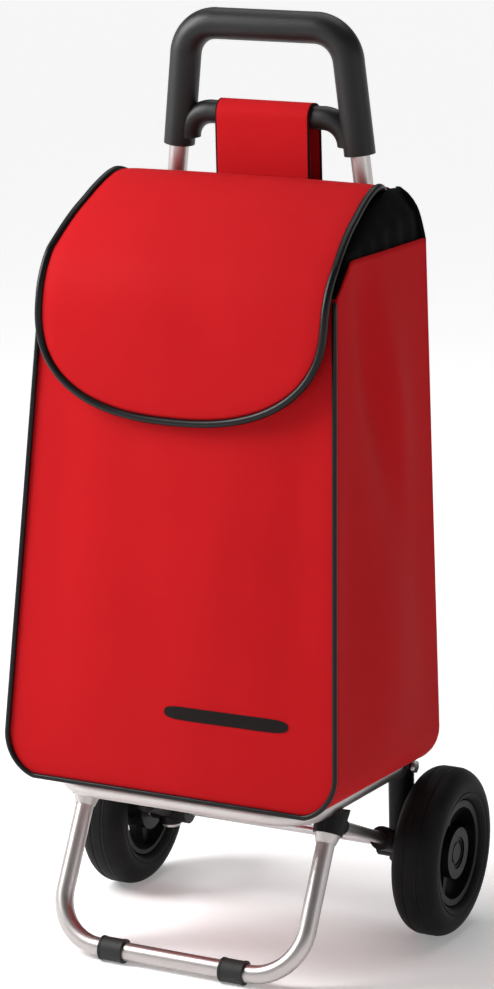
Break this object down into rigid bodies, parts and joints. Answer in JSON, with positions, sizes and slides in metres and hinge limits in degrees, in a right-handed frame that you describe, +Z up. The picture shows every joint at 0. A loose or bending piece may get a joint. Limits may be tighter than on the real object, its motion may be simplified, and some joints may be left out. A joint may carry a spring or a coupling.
{
  "type": "shopping trolley",
  "caption": "Upright shopping trolley: tapered fabric bag with a rounded piped flap on a bent tube frame with rear wheels, front stand and loop handle.",
  "frame": {"origin": "on the ground, in the middle of the object's box seen from above", "axes": "+Z up, -Y towards the front of the bag, +X to the right seen from the front"},
  "size_m": [0.396, 0.3569, 0.9151],
  "materials": {
    "tyre": "matte",
    "black_rubber": "matte",
    "black_moulding": "satin",
    "white_nylon": "satin",
    "tube": "satin",
    "steel": "satin",
    "red_fabric": "matte",
    "black_fabric": "matte",
    "black_piping": "satin",
    "grey_board": "matte"
  },
  "bodies": {
    "frame": {"axle": "steel", "axle_washers": "steel", "axle_push_nuts": "steel", "upright_left": "tube", "upright_right": "tube", "bracket_left": "black_moulding", "bracket_right": "black_moulding", "bracket_bolts": "steel", "bracket_nuts": "steel", "strut_left": "tube", "strut_right": "tube", "shelf_tube": "tube", "corner_block_left": "black_moulding", "corner_block_right": "black_moulding", "leg_ferrule_left": "tube", "leg_ferrule_right": "tube", "stand_tube": "tube", "foot_sleeve_left": "black_rubber", "foot_sleeve_right": "black_rubber", "handle": "black_moulding", "handle_screws": "steel", "front_panel": "red_fabric", "back_panel": "red_fabric", "gusset": "red_fabric", "front_piping": "black_piping", "collar": "black_fabric", "base_board": "grey_board", "strap": "red_fabric"},
    "lid": {"flap": "red_fabric", "flap_piping": "black_piping"},
    "wheel_left": {"tyre_left": "tyre", "rim_left": "black_moulding", "bush_inner_left": "white_nylon", "bush_outer_left": "white_nylon", "hub_cap_left": "black_moulding"},
    "wheel_right": {"tyre_right": "tyre", "rim_right": "black_moulding", "bush_inner_right": "white_nylon", "bush_outer_right": "white_nylon", "hub_cap_right": "black_moulding"}
  },
  "joints": [
    {"name": "wheel_left_spin", "type": "hinge", "parent": "frame", "child": "wheel_left", "pos_m": [-0.174, 0.09355, 0.085], "axis": [1, 0, 0], "continuous": true},
    {"name": "wheel_right_spin", "type": "hinge", "parent": "frame", "child": "wheel_right", "pos_m": [0.174, 0.09355, 0.085], "axis": [1, 0, 0], "continuous": true},
    {"name": "flap_hinge", "type": "hinge", "parent": "frame", "child": "lid", "pos_m": [0, -0.00045, 0.751], "axis": [-1, 0, 0], "range_deg": [0, 72]}
  ]
}
